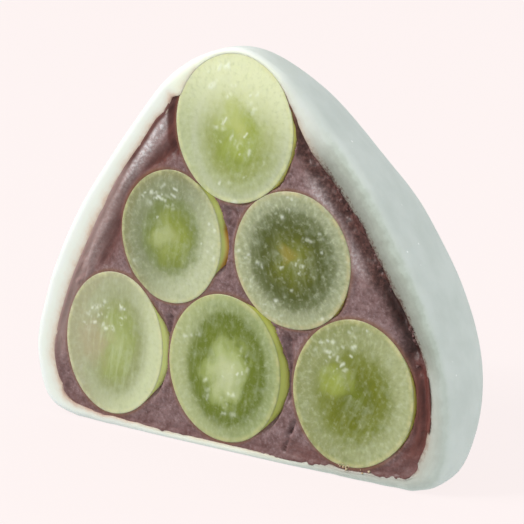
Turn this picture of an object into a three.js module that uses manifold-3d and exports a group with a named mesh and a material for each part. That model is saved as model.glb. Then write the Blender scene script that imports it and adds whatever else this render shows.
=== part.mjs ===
// Half of a filled mochi rice cake, standing on its flat base with the cut face towards -Y.
//
// A soft white dough skin wraps a body of red bean paste, and whole green grapes sit in the paste in
// rows of three, two and one. The cut runs down through the middle of the cake and of every grape.
// Units are millimetres, +Z is up, and the origin is under the middle of the cake's bounding box.

import * as THREE from "three";
import { mergeVertices } from "three/addons/utils/BufferGeometryUtils.js";
import Module from "manifold-3d";

// ---- Driving dimensions ----

const REACH = 39; // how far back the body would swell if its back did not tuck in
const BACK_SKIN = 4.4; // taken off the reach inside the dough, which leaves about 3 mm of it
const PASTE_RECESS = 0.8; // how far the soft paste has drawn back behind the cut
const CLEARANCE = 0.3; // free gap left between neighbouring pieces

// The cut face's outline, clockwise from the apex as seen from in front of the cut:
// across (x), up (z) and the dough's thickness there.
const OUTLINE_KNOTS = [
  { x: 1.7, z: 66.3, skin: 0.8 },
  { x: 9.9, z: 63.1, skin: 1.15 },
  { x: 17.4, z: 55.9, skin: 4.2 },
  { x: 26.7, z: 45.5, skin: 4.1 },
  { x: 34.4, z: 33.6, skin: 3.9 },
  { x: 39.6, z: 21.7, skin: 2.9 },
  { x: 41.0, z: 10.0, skin: 3.5 },
  { x: 39.2, z: 2.4, skin: 4.6 },
  { x: 34.0, z: 0.0, skin: 2.6 },
  { x: 0.0, z: 0.0, skin: 1.3 },
  { x: -32.0, z: 0.0, skin: 2.4 },
  { x: -38.0, z: 2.2, skin: 4.6 },
  { x: -40.7, z: 10.5, skin: 4.7 },
  { x: -38.0, z: 22.2, skin: 4.9 },
  { x: -32.1, z: 34.0, skin: 4.7 },
  { x: -24.8, z: 45.0, skin: 3.9 },
  { x: -17.2, z: 54.9, skin: 3.8 },
  { x: -11.6, z: 60.7, skin: 2.7 },
  { x: -6.2, z: 63.9, skin: 1.0 },
];
const OUTLINE_STEPS = 60;

// The swell of the body behind the cut: superellipse exponents across and up, and how the back tucks
// in towards the base, by that share of its reach from the tuck's height down.
const SWELL_ACROSS = 3.0;
const SWELL_UP = 1.85;
const SWELL_RINGS = 12;
const RING_CROWDING = 1.6; // above 1, the rings lie closer together towards the base of the back
const TUCK = 0.55;
const TUCK_HEIGHT = 44;

// Each grape's cut section: centre, half width, half height and lean in degrees.
const GRAPES = [
  { name: "grape_top", x: 0.95, z: 53.35, halfWidth: 11.0, halfHeight: 11.7, lean: 18 },
  { name: "grape_mid_left", x: -11.85, z: 34.05, halfWidth: 9.9, halfHeight: 10.9, lean: 9 },
  { name: "grape_mid_right", x: 12.0, z: 33.7, halfWidth: 11.0, halfHeight: 10.8, lean: -19 },
  { name: "grape_low_left", x: -23.75, z: 14.35, halfWidth: 10.0, halfHeight: 12.1, lean: 10 },
  { name: "grape_low_mid", x: -1.25, z: 13.95, halfWidth: 10.95, halfHeight: 12.2, lean: 9.5 },
  { name: "grape_low_right", x: 23.6, z: 14.15, halfWidth: 11.0, halfHeight: 12.0, lean: 25 },
];
const GRAPE_DEPTH = 10.8; // from the cut to the back of each grape half
const GRAPE_SEGMENTS = 30;
const GRAPE_RINGS = 7;

// ---- Colours ----

const DOUGH = { color: 0xe9eeea, roughness: 0.6, metalness: 0 };
const BEAN_PASTE = { color: 0x74484a, roughness: 0.7, metalness: 0 };
const GRAPE_FLESH = { color: 0xb4c282, roughness: 0.25, metalness: 0 };

const wasm = await Module();
wasm.setup();

// ---- Joining and cutting ----

// A closed geometry as a manifold-3d solid.
function toSolid(geometry) {
  const bare = geometry.clone();
  bare.deleteAttribute("normal");
  bare.deleteAttribute("uv");
  const merged = mergeVertices(bare, 1e-3);
  return new wasm.Manifold(
    new wasm.Mesh({
      numProp: 3,
      vertProperties: merged.getAttribute("position").array,
      triVerts: new Uint32Array(merged.index.array),
    }),
  );
}

function toGeometry(solid) {
  const mesh = solid.getMesh();
  const geometry = new THREE.BufferGeometry();
  geometry.setAttribute("position", new THREE.BufferAttribute(mesh.vertProperties, 3));
  geometry.setIndex(new THREE.BufferAttribute(mesh.triVerts, 1));
  geometry.computeVertexNormals();
  return geometry;
}

function geometryOf(vertices, triangles) {
  const geometry = new THREE.BufferGeometry();
  const numbers = vertices.flatMap((vertex) => [vertex.x, vertex.y, vertex.z]);
  geometry.setAttribute("position", new THREE.Float32BufferAttribute(numbers, 3));
  geometry.setIndex(triangles.flat());
  geometry.computeVertexNormals();
  return geometry;
}

// ---- The cake's body: the cut is on y = 0 and the back is towards +y ----

function smoothLoop(points) {
  return new THREE.CatmullRomCurve3(points, true, "centripetal");
}

// Points round the cut face's outline, moved in from the outside by the inset at each knot. What
// dips under the lowest knot is levelled, so the base is flat.
function outline(inset) {
  const knots = OUTLINE_KNOTS.map((knot) => new THREE.Vector3(knot.x, 0, knot.z));
  const rim = smoothLoop(knots);
  const moved = knots.map((point, i) => {
    const along = rim.getTangent(i / knots.length);
    const inwards = new THREE.Vector3(along.z, 0, -along.x);
    return point.clone().addScaledVector(inwards, inset(OUTLINE_KNOTS[i]));
  });
  const floor = Math.min(...moved.map((point) => point.z));
  const loop = smoothLoop(moved);
  const points = Array.from({ length: OUTLINE_STEPS }, (_, i) => loop.getPoint(i / OUTLINE_STEPS));
  points.forEach((point) => point.setZ(Math.max(point.z, floor)));
  return points;
}

// The share of the reach that the back keeps at a height.
function kept(z) {
  return 1 - TUCK * Math.max(0, 1 - z / TUCK_HEIGHT) ** 1.5;
}

// Rings of points from the cut back to the pole. Each is the outline drawn in towards the middle of
// its own base line, so a flat base stays flat all the way back.
function swellPoints(rim, reach) {
  const floor = Math.min(...rim.map((point) => point.z));
  const points = [];
  for (let j = 0; j < SWELL_RINGS; j += 1) {
    const turn = (1 - (1 - j / SWELL_RINGS) ** RING_CROWDING) * (Math.PI / 2);
    const share = Math.sin(turn) ** (2 / SWELL_UP);
    const up = Math.cos(turn) ** (2 / SWELL_UP);
    const across = (1 - share ** SWELL_ACROSS) ** (1 / SWELL_ACROSS);
    for (const point of rim) {
      const z = floor + (point.z - floor) * up;
      points.push(new THREE.Vector3(point.x * across, reach * share * kept(z), z));
    }
  }
  points.push(new THREE.Vector3(0, reach * kept(floor), floor));
  return points;
}

// Triangles over swellPoints, facing out. The first ring, on the cut, is left open.
function swellTriangles() {
  const triangles = [];
  const pole = SWELL_RINGS * OUTLINE_STEPS;
  for (let j = 0; j < SWELL_RINGS; j += 1) {
    for (let i = 0; i < OUTLINE_STEPS; i += 1) {
      const here = j * OUTLINE_STEPS + i;
      const next = j * OUTLINE_STEPS + ((i + 1) % OUTLINE_STEPS);
      if (j === SWELL_RINGS - 1) {
        triangles.push([here, next, pole]);
      } else {
        triangles.push([here, next + OUTLINE_STEPS, here + OUTLINE_STEPS]);
        triangles.push([here, next, next + OUTLINE_STEPS]);
      }
    }
  }
  return triangles;
}

// The dough: an outer and an inner swell, joined by the ring of dough that shows at the cut.
function doughGeometry() {
  const outer = swellPoints(outline(() => 0), REACH);
  const inner = swellPoints(outline((knot) => knot.skin), REACH - BACK_SKIN);
  const outside = swellTriangles();
  const inside = outside.map((corners) => corners.map((c) => c + outer.length).reverse());
  const cut = [];
  for (let i = 0; i < OUTLINE_STEPS; i += 1) {
    const next = (i + 1) % OUTLINE_STEPS;
    cut.push([i, outer.length + next, next]);
    cut.push([i, outer.length + i, outer.length + next]);
  }
  return geometryOf([...outer, ...inner], [...outside, ...inside, ...cut]);
}

// The paste before the grapes are cut from it: what fills the dough, drawn in by the clearance, with
// its front drawn back behind the cut.
function pasteBody() {
  const rim = outline((knot) => knot.skin);
  const points = swellPoints(rim, REACH - BACK_SKIN);
  const box = new THREE.Box3().setFromPoints(points);
  const middle = box.getCenter(new THREE.Vector3()).setY(0);
  const size = box.getSize(new THREE.Vector3());
  const triangles = swellTriangles();
  for (let i = 0; i < OUTLINE_STEPS; i += 1) {
    triangles.push([(i + 1) % OUTLINE_STEPS, i, points.length]);
  }
  points.push(middle);
  const drawnIn = new THREE.Vector3(
    (size.x - 2.4 * CLEARANCE) / size.x,
    (size.y - CLEARANCE) / size.y,
    (size.z - 2.4 * CLEARANCE) / size.z,
  );
  const geometry = geometryOf(points, triangles);
  geometry.translate(-middle.x, 0, -middle.z);
  geometry.scale(drawnIn.x, drawnIn.y, drawnIn.z);
  geometry.translate(middle.x, 0, middle.z);
  return toSolid(geometry).trimByPlane([0, 1, 0], PASTE_RECESS);
}

// ---- The grapes ----

// Half a ball of radius 1, flat side on y = 0 and round side towards +y.
function halfBall() {
  const profile = [new THREE.Vector2(0, 0)];
  for (let j = 0; j < GRAPE_RINGS; j += 1) {
    const turn = ((j / GRAPE_RINGS) * Math.PI) / 2;
    profile.push(new THREE.Vector2(Math.cos(turn), Math.sin(turn)));
  }
  profile.push(new THREE.Vector2(0, 1));
  return new THREE.LatheGeometry(profile, GRAPE_SEGMENTS);
}

// Puts a half ball where a grape sits, with its round side moved out by grow.
function placeGrape(mesh, grape, grow) {
  mesh.position.set(grape.x, 0, grape.z);
  mesh.rotation.y = THREE.MathUtils.degToRad(grape.lean);
  mesh.scale.set(grape.halfWidth + grow, GRAPE_DEPTH + grow, grape.halfHeight + grow);
  mesh.updateMatrix();
  return mesh;
}

function grapeHollow(grape) {
  const { matrix } = placeGrape(new THREE.Object3D(), grape, CLEARANCE);
  return toSolid(halfBall().applyMatrix4(matrix));
}

function pasteGeometry() {
  const hollows = GRAPES.map(grapeHollow);
  return toGeometry(hollows.reduce((paste, hollow) => paste.subtract(hollow), pasteBody()));
}

// ---- Assembly ----

function piece(name, geometry, look) {
  const mesh = new THREE.Mesh(geometry, new THREE.MeshStandardMaterial(look));
  mesh.name = name;
  return mesh;
}

const cake = new THREE.Group();
cake.add(piece("dough_skin", doughGeometry(), DOUGH));
cake.add(piece("bean_paste", pasteGeometry(), BEAN_PASTE));
for (const grape of GRAPES) {
  cake.add(placeGrape(piece(grape.name, halfBall(), GRAPE_FLESH), grape, 0));
}

// The origin goes under the middle of the whole.
const middle = new THREE.Box3().setFromObject(cake).getCenter(new THREE.Vector3());
cake.position.set(-middle.x, -middle.y, 0);

export default cake;
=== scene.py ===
"""Half of a filled mochi rice cake: what its dough, bean paste and cut grapes look like.

The cake stands on its flat base with the cut face towards -Y. Shapes are worked out in millimetres, in
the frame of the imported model, and made in metres. Depth is measured from the cut into the cake.
"""

import math

import bpy
import numpy as np
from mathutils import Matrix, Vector
from numpy.linalg import norm


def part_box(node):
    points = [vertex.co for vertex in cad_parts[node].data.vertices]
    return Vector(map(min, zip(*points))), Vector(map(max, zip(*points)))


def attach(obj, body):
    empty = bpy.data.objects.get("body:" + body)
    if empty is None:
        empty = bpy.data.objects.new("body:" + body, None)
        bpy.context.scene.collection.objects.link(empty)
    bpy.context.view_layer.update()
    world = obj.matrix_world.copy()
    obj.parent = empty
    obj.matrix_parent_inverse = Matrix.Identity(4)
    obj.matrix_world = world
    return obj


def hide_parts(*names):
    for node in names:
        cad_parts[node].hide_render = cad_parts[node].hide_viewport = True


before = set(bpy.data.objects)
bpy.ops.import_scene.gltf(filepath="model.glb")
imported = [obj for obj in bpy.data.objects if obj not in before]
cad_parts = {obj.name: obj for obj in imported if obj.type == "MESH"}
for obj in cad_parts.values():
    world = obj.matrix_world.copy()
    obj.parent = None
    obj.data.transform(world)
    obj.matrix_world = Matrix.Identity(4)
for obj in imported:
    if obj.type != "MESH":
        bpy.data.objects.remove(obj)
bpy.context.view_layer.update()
MM = 0.001

# ---- Camera and light ----

VIEW_AZIMUTH = 36.0
VIEW_ELEVATION = 14.5
VIEW_DISTANCE = 0.45
VIEW_TARGET = (0.0063, 0.0327)  # x and z of the point looked at, on the cut
LENS = 197.6
LIT_PLACE = (0.0, 0.0, 0.03)  # what the lights point at, in metres

# ---- The cake's body, in mm ----

DOUGH_BOX = [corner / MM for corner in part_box("dough_skin")]
CUT_Y = DOUGH_BOX[0].y
REACH = 39.0  # how far back the body would swell if its back did not tuck in
BACK_SKIN = 4.4  # taken off the reach inside the dough, which leaves about 3 mm of it
SWELL_ACROSS = 3.0
SWELL_UP = 1.85
TUCK = 0.55  # the share of the reach that the back loses at the base
TUCK_HEIGHT = 44.0
BASE_ROUND = 0.04  # the share of the reach rounded off over BASE_ROUND_HEIGHT
BASE_ROUND_HEIGHT = 2.2
LAST_RING = 0.985  # how far round a swell its last ring of vertices lies
RIM_FADE = 0.15  # the share of the reach over which the flank leaves the cut's rounded edge

# Across, up, and the dough's thickness, clockwise from the apex as seen from in front.
OUTLINE_KNOTS = [
    (1.7, 66.3, 0.8), (9.9, 63.1, 1.15), (17.4, 55.9, 4.2), (26.7, 45.5, 4.1),
    (34.4, 33.6, 3.9), (39.6, 21.7, 2.9), (41.0, 10.0, 3.5), (39.2, 2.4, 4.6),
    (34.0, 0.0, 2.6), (0.0, 0.0, 1.3), (-32.0, 0.0, 2.4), (-38.0, 2.2, 4.6),
    (-40.7, 10.5, 4.7), (-38.0, 22.2, 4.9), (-32.1, 34.0, 4.7), (-24.8, 45.0, 3.9),
    (-17.2, 54.9, 3.8), (-11.6, 60.7, 2.7), (-6.2, 63.9, 1.0),
]

# ---- The cut grapes ----

GRAPE_DEPTH = 10.8
GRAPE_RADIUS = 11.2  # roughly turns a grape's own units into mm

# Each cut grape. Lean and angles are in degrees, angles counted from the right towards the top, and
# places on the cut are in units of the radius, in the grape's own leaning frame.
#   size       half the cut's width and half its height, in mm
#   sunk       how far the left edge lies deeper than the right, in mm
#   flesh      the flesh's colour at each of FLESH_STOPS, from the middle out to the skin
#   core_at    the middle of those colours; stretch widens them across and up
#   lit        the angle of the paler side, where it starts, its colour and how much of it shows
#   heart      a blot near the middle: its place, its radius and its colour
#   grain      how strongly the beads and fibres show
#   wander     how far the borders between the colours stray
#   streaks    how strongly upright streaks show near the middle
#   glints     clusters of painted highlights on wet strokes: place, spread, how many, length and angle
#   moat       where the grape bulges out behind the cut and the paste leaves it bare: angle, spread,
#              and the depth and width of the gap in mm
#   amber      the angle at which the wall shows its deeper colour, and how much of it
#   rim        the colour of the thin line round the cut
#   skin, deep the colour of the skin just behind the cut, painted paler for light through it, and further
#   in
FLESH_STOPS = (0.0, 0.22, 0.38, 0.52, 0.68, 0.82, 0.94)
GRAPES = {}
GRAPES["grape_top"] = dict(
    size=(11.25, 12.1), lean=18, sunk=0.05, core_at=(0.13, -0.03), stretch=(0.95, 1.08),
    flesh=[
        (174, 179, 106), (158, 167, 88), (148, 157, 86), (156, 162, 104), (172, 177, 134),
        (184, 188, 156), (180, 185, 146),
    ],
    lit=(96, 0.15, (226, 228, 190), 0.95), heart=((-0.1, 0.16), 0.2, (188, 193, 128)),
    grain=0.7, wander=0.1, rim=(214, 212, 156), skin=(226, 222, 128), deep=(180, 126, 56),
    glints=[
        (-0.2, -0.12, 0.07, 5, 0.08, 0), (0.23, -0.16, 0.07, 6, 0.16, 62),
        (0.18, 0.48, 0.1, 6, 0.07, 50), (-0.42, 0.5, 0.2, 12, 0.12, 40),
        (0.2, -0.55, 0.2, 8, 0.08, 50),
    ],
    amber=(-30, 0.4), moat=[(-35, 30, 1.3, 0.45), (8, 22, 0.9, 0.4)], streaks=0.12,
)
GRAPES["grape_mid_left"] = dict(
    size=(10.0, 11.0), lean=9, sunk=0.3, core_at=(0.05, 0.0), stretch=(1.0, 1.0),
    flesh=[
        (153, 158, 96), (141, 149, 78), (133, 141, 79), (125, 133, 87), (133, 137, 106),
        (139, 142, 112), (141, 140, 106),
    ],
    lit=(-25, 0.4, (196, 199, 166), 0.9), heart=((-0.14, -0.04), 0.16, (174, 179, 130)),
    grain=0.75, wander=0.1, rim=(196, 192, 140), skin=(192, 198, 112), deep=(196, 142, 60),
    glints=[
        (-0.34, 0.54, 0.15, 9, 0.18, 12), (0.0, 0.66, 0.09, 5, 0.14, -10),
        (-0.6, 0.44, 0.06, 3, 0.08, 20), (0.72, -0.02, 0.1, 6, 0.03, 80),
        (-0.68, -0.62, 0.06, 3, 0.03, 0), (0.78, 0.34, 0.05, 3, 0.03, 0),
    ],
    amber=(0, 0.95), moat=[(6, 18, 2.4, 1.5), (36, 24, 2.0, 1.1)], streaks=0.12,
)
GRAPES["grape_mid_right"] = dict(
    size=(11.15, 11.0), lean=-19, sunk=0.15, core_at=(0.02, 0.0), stretch=(1.0, 1.0),
    flesh=[
        (136, 137, 78), (112, 115, 58), (98, 101, 54), (93, 97, 60), (112, 116, 84),
        (157, 160, 131), (169, 171, 139),
    ],
    lit=(215, 0.6, (172, 171, 132), 0.2), heart=((-0.06, 0.1), 0.1, (146, 133, 70)),
    grain=1.3, wander=0.12, rim=(198, 182, 136), skin=(190, 176, 88), deep=(160, 110, 50),
    glints=[
        (-0.78, 0.22, 0.12, 14, 0.04, 60), (-0.84, -0.2, 0.07, 6, 0.04, 60),
        (-0.64, -0.52, 0.1, 8, 0.05, -40), (-0.5, -0.76, 0.08, 5, 0.06, -40),
        (0.1, 0.8, 0.18, 9, 0.04, 0), (0.33, 0.2, 0.03, 3, 0.1, 10), (0.56, 0.17, 0.09, 5, 0.06, 0),
        (0.15, -0.1, 0.05, 4, 0.1, 70), (-0.15, -0.25, 0.14, 5, 0.06, 30),
        (0.35, -0.82, 0.08, 3, 0.04, 0),
    ],
    amber=(-70, 0.3), moat=[(215, 30, 0.9, 0.5), (-70, 30, 0.9, 0.4)], streaks=0.1,
)
GRAPES["grape_low_left"] = dict(
    size=(10.05, 12.2), lean=10, sunk=0.3, core_at=(0.08, 0.0), stretch=(0.88, 1.1),
    flesh=[
        (170, 176, 124), (160, 167, 110), (154, 161, 104), (155, 159, 114), (163, 165, 131),
        (168, 169, 137), (168, 165, 134),
    ],
    lit=(-15, 0.52, (206, 210, 172), 0.85), heart=((-0.42, -0.05), 0.3, (176, 165, 136)),
    grain=0.5, wander=0.1, rim=(212, 208, 164), skin=(226, 233, 150), deep=(182, 164, 90),
    glints=[
        (-0.36, 0.32, 0.13, 20, 0.09, 15), (0.14, 0.44, 0.08, 8, 0.08, 10),
        (-0.03, 0.2, 0.02, 3, 0.06, 90), (-0.62, 0.12, 0.07, 4, 0.03, 0),
    ],
    amber=(40, 0.2), moat=[(6, 32, 2.0, 1.05)], streaks=0.22,
)
GRAPES["grape_low_mid"] = dict(
    size=(11.05, 12.3), lean=9.5, sunk=0.15, core_at=(0.05, -0.01), stretch=(0.95, 1.05),
    flesh=[
        (180, 186, 138), (168, 176, 120), (148, 157, 96), (114, 124, 60), (110, 120, 60),
        (150, 158, 112), (164, 171, 124),
    ],
    lit=(205, 0.58, (180, 182, 140), 0.55), heart=((0.08, -0.12), 0.22, (192, 196, 154)),
    grain=0.8, wander=0.17, rim=(190, 184, 126), skin=(194, 199, 104), deep=(174, 178, 82),
    glints=[
        (-0.2, -0.37, 0.07, 5, 0.1, 60), (0.18, 0.04, 0.12, 6, 0.14, 60),
        (0.2, -0.42, 0.1, 5, 0.12, 30), (-0.62, 0.42, 0.14, 6, 0.03, 0),
        (0.4, 0.25, 0.12, 4, 0.05, 60),
    ],
    amber=(50, 0.3), moat=[(2, 32, 2.2, 1.1), (46, 26, 1.8, 0.85)], streaks=0.12,
)
GRAPES["grape_low_right"] = dict(
    size=(11.15, 12.2), lean=25, sunk=0.1, core_at=(0.06, -0.02), stretch=(1.0, 1.0),
    flesh=[
        (114, 121, 12), (112, 117, 14), (117, 121, 36), (126, 131, 70), (142, 146, 98),
        (150, 153, 110), (146, 149, 104),
    ],
    lit=(15, 0.5, (176, 179, 138), 0.8), heart=((-0.3, 0.04), 0.2, (160, 168, 90)),
    grain=1.0, wander=0.13, rim=(204, 194, 140), skin=(200, 196, 100), deep=(160, 104, 60),
    glints=[
        (-0.62, 0.23, 0.07, 6, 0.04, 0), (-0.4, 0.28, 0.07, 5, 0.09, 70),
        (-0.48, 0.5, 0.14, 12, 0.04, 0), (-0.8, 0.32, 0.06, 4, 0.04, 60),
        (-0.3, 0.66, 0.12, 7, 0.04, 0),
    ],
    amber=(30, 0.3), moat=[(20, 40, 0.8, 0.4)], streaks=0.12,
)


# ---- Repeatable noise ----


def hashed(cell, seed):
    """A repeatable number from -1 to 1 for each whole-number cell."""
    x, y, z = (cell[..., k].astype(np.uint64) for k in range(3))
    mixed = x * np.uint64(374761393) + y * np.uint64(668265263) + z * np.uint64(1274126177)
    mixed = (mixed + np.uint64(seed * 974711 + 12345)) & np.uint64(0xFFFFFFFF)
    for shift, factor in ((13, 1103515245), (16, 2654435769)):
        mixed = ((mixed ^ (mixed >> np.uint64(shift))) * np.uint64(factor)) & np.uint64(0xFFFFFFFF)
    return (mixed >> np.uint64(8)) / float(1 << 23) - 1.0


def noise(points, size, seed):
    """Smooth noise from -1 to 1 at each point, with lumps of about that size."""
    scaled = np.asarray(points) / size + 500.0
    cell = np.floor(scaled)
    part = scaled - cell
    ease = part * part * (3.0 - 2.0 * part)
    total = 0.0
    for corner in np.ndindex(2, 2, 2):
        weight = np.prod(np.where(np.array(corner) == 1, ease, 1.0 - ease), axis=-1)
        total = total + weight * hashed(cell + np.array(corner), seed)
    return total


def layered(points, size, seed, layers):
    """Noise with finer noise on it, each layer half the size and a little over half the height."""
    return sum(noise(points, size / 2**k, seed + k) * 0.55**k for k in range(layers))


def smooth(low, high, value):
    """0 below low, 1 above high, and an eased step between."""
    part = np.clip((value - low) / (high - low), 0.0, 1.0)
    return part * part * (3.0 - 2.0 * part)


def between(ends, share):
    """From the first of two numbers at share 0 to the second at share 1."""
    return ends[0] + (ends[1] - ends[0]) * share


# ---- Outlines and paths on the cut, as (across, up) ----


def catmull_rom(knots, steps=24):
    """A closed centripetal Catmull-Rom curve through the knots."""
    knots = np.array(knots, float)
    spans = []
    for i in range(len(knots)):
        p = [knots[(i + k) % len(knots)] for k in (-1, 0, 1, 2)]
        gaps = [norm((p[k + 1] - p[k])[:2]) ** 0.5 for k in range(3)]
        t = np.cumsum([0.0] + gaps)
        u = np.linspace(t[1], t[2], steps, endpoint=False)[:, None]
        a = [((t[k + 1] - u) * p[k] + (u - t[k]) * p[k + 1]) / (t[k + 1] - t[k]) for k in range(3)]
        b = [((t[k + 2] - u) * a[k] + (u - t[k]) * a[k + 1]) / (t[k + 2] - t[k]) for k in range(2)]
        spans.append(((t[2] - u) * b[0] + (u - t[1]) * b[1]) / (t[2] - t[1]))
    return np.concatenate(spans)


def spaced(loop, count):
    """The closed loop with count points evenly spaced along it."""
    closed = np.vstack([loop, loop[:1]])
    length = np.cumsum([0.0, *norm(np.diff(closed[:, :2], axis=0), axis=1)])
    wanted = np.linspace(0.0, length[-1], count, endpoint=False)
    return np.stack([np.interp(wanted, length, closed[:, k]) for k in range(closed.shape[1])], axis=1)


def outline(count):
    """The cut's outline: its points, the ways inwards from them, and the dough's thickness there."""
    loop = spaced(catmull_rom(OUTLINE_KNOTS), count)
    points = loop[:, :2]
    points[:, 0] -= (points[:, 0].min() + points[:, 0].max()) / 2
    points[:, 1] = np.maximum(points[:, 1], 0.0)
    along = np.roll(points, -2, axis=0) - np.roll(points, 2, axis=0)
    along /= norm(along, axis=1)[:, None]
    return points, np.stack([along[:, 1], -along[:, 0]], axis=1), loop[:, 2]


def distance_to(path, points):
    """How far each (across, up) point is from the open path."""
    nearest = np.full(len(points), np.inf)
    for start, end in zip(np.array(path[:-1], float), np.array(path[1:], float)):
        span = end - start
        share = np.clip((points - start) @ span / (span @ span), 0.0, 1.0)
        nearest = np.minimum(nearest, norm(points - start - share[:, None] * span, axis=1))
    return nearest


def near(path, points, width):
    """1 on the path, fading to nothing over about that width."""
    return np.exp(-((distance_to(path, points) / width) ** 2))


def with_depth(points):
    """The (across, up) points as xyz, at y = 0."""
    return np.stack([points[..., 0], 0 * points[..., 0], points[..., 1]], axis=-1)


def behind_cut(across, depth, up):
    """Points as xyz, that far behind the cut."""
    return np.stack([across, CUT_Y + depth, up], axis=-1)


# ---- Meshes ----


def add_object(name, data):
    """A new object with that data, in the scene."""
    thing = bpy.data.objects.new(name, data)
    bpy.context.scene.collection.objects.link(thing)
    return thing


def add_mesh(name, vertices, faces):
    """A new smooth mesh, from vertices in mm."""
    mesh = bpy.data.meshes.new(name)
    mesh.from_pydata((np.array(vertices) * MM).tolist(), [], faces)
    mesh.shade_smooth()
    return add_object(name, mesh)


def ring_stack(name, rings, first, last):
    """A closed mesh over a stack of rings, an array of (ring, place round it, xyz) in mm, with a point
    that closes each end. The rings turn so that faces look outwards."""
    count, around = rings.shape[:2]
    vertices = np.vstack([[first], rings.reshape(-1, 3), [last]])
    here = np.arange(count * around).reshape(count, around) + 1
    beside = np.roll(here, -1, axis=1)
    quads = np.stack([here[:-1], beside[:-1], beside[1:], here[1:]], axis=-1).reshape(-1, 4)
    end = len(vertices) - 1
    fans = [(0, a, b) for a, b in zip(here[0], beside[0])]
    fans += [(end, b, a) for a, b in zip(here[-1], beside[-1])]
    return add_mesh(name, vertices, quads[:, ::-1].tolist() + [tuple(map(int, fan)) for fan in fans])


def note(piece, name, values):
    """Stores a number or a vector for each vertex, for the material to read."""
    values = np.asarray(values, np.float32)
    kind, field = ("FLOAT", "value") if values.ndim == 1 else ("FLOAT_VECTOR", "vector")
    piece.data.attributes.new(name, kind, "POINT").data.foreach_set(field, values.ravel())


def with_ends(values):
    """Values for the rings' points, with the first and last repeated for the end points."""
    flat = np.asarray(values).reshape(-1, *np.shape(values)[2:])
    return np.concatenate([flat[:1], flat, flat[-1:]])


# ---- The body's form ----


def kept(z):
    """The share of the reach that the back keeps at a height, as it tucks in towards the base."""
    tuck = TUCK * np.maximum(0.0, 1.0 - z / TUCK_HEIGHT) ** 1.5
    return 1.0 - tuck - BASE_ROUND * np.maximum(0.0, 1.0 - z / BASE_ROUND_HEIGHT) ** 2


def swell(points, reach, turns, start=0.0):
    """Rings of the body behind the cut, from the outline at turn 0 back to the pole at turn 1. The
    outline itself lies at the depth start."""
    floor = points[:, 1].min()
    share = np.sin(turns * math.pi / 2)[:, None] ** (2 / SWELL_UP)
    up = np.cos(turns * math.pi / 2)[:, None] ** (2 / SWELL_UP)
    across = (1.0 - share**SWELL_ACROSS) ** (1 / SWELL_ACROSS)
    z = floor + (points[:, 1] - floor) * up
    back = reach * share * kept(z) + start * np.exp(-((share / RIM_FADE) ** 2))
    return behind_cut(points[:, 0] * across, back, z)


def swell_pole(points, reach):
    """The point that closes the body at the back of its base."""
    floor = points[:, 1].min()
    return (0.0, CUT_Y + reach * kept(floor), floor)


# ---- The dough ----

DOUGH_AROUND = 640
DOUGH_BACK_RINGS = 91
DOUGH_INSIDE_RINGS = 14
LUMPS_FROM = 26.0  # the height that lumps in the dough move away from
OUTER_ROUND = (1.5, 2.4)  # the cut's outer edge is rounded by this much on the left and on the right
INNER_ROUND = (0.14, 0.9)  # and its inner edge by this much
CLOSED_ABOVE = (56.8, 58.6)  # over these heights the dough closes up against the top grape
WEDGE_ABOVE = (52.8, 55.6)  # over these, on the left, it leaves only a wedge of paste beside it
WEDGE_WIDTH = 1.5  # in mm, between the dough and the grape


def closed_up(points, inwards, thickness):
    """The dough's thickness, with what it gains where it reaches in and touches the top grape."""
    inner = points + inwards * thickness[:, None]
    gap = (norm(grape_local("grape_top", inner), axis=1) - 1.0) * 11.5
    reach = (np.maximum(gap, 0.0) + 0.25) * smooth(*CLOSED_ABOVE, inner[:, 1])
    wedge = np.maximum(gap - WEDGE_WIDTH, 0.0) * smooth(*WEDGE_ABOVE, inner[:, 1])
    reach = np.where(points[:, 0] < 0.0, np.maximum(reach, wedge), reach)
    ragged = 0.14 * noise(with_depth(points), 2.4, 14) + 0.06 * noise(with_depth(points), 1.0, 15)
    smear = 0.45 * smooth(8.0, 20.0, points[:, 0])
    return thickness + reach + smear + ragged * smooth(8.0, 20.0, np.abs(points[:, 0]))


def dough_profile(thickness, right):
    """Rings across the cut dough from outside to inside: how far in, how deep, and 0 to 1 across."""
    turn = np.linspace(0.0, math.pi / 2, 12)[:, None]
    outer_round = np.minimum(between(OUTER_ROUND, right), 0.7 * thickness)
    inner_round = np.minimum(between(INNER_ROUND, right), 0.28 * thickness)
    outer = outer_round * (1 - np.cos(turn)), outer_round * (1 - np.sin(turn))
    flat = np.linspace(0.0, 1.0, 20)[1:-1, None]
    middle = outer_round + flat * (thickness - outer_round - inner_round)
    inner = thickness - inner_round * (1 - np.sin(turn)), inner_round * (1 - np.cos(turn))
    inwards = np.concatenate([outer[0], middle, inner[0]])
    depth = np.concatenate([outer[1], 0 * middle, inner[1]])
    return inwards, depth, inwards / thickness


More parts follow.
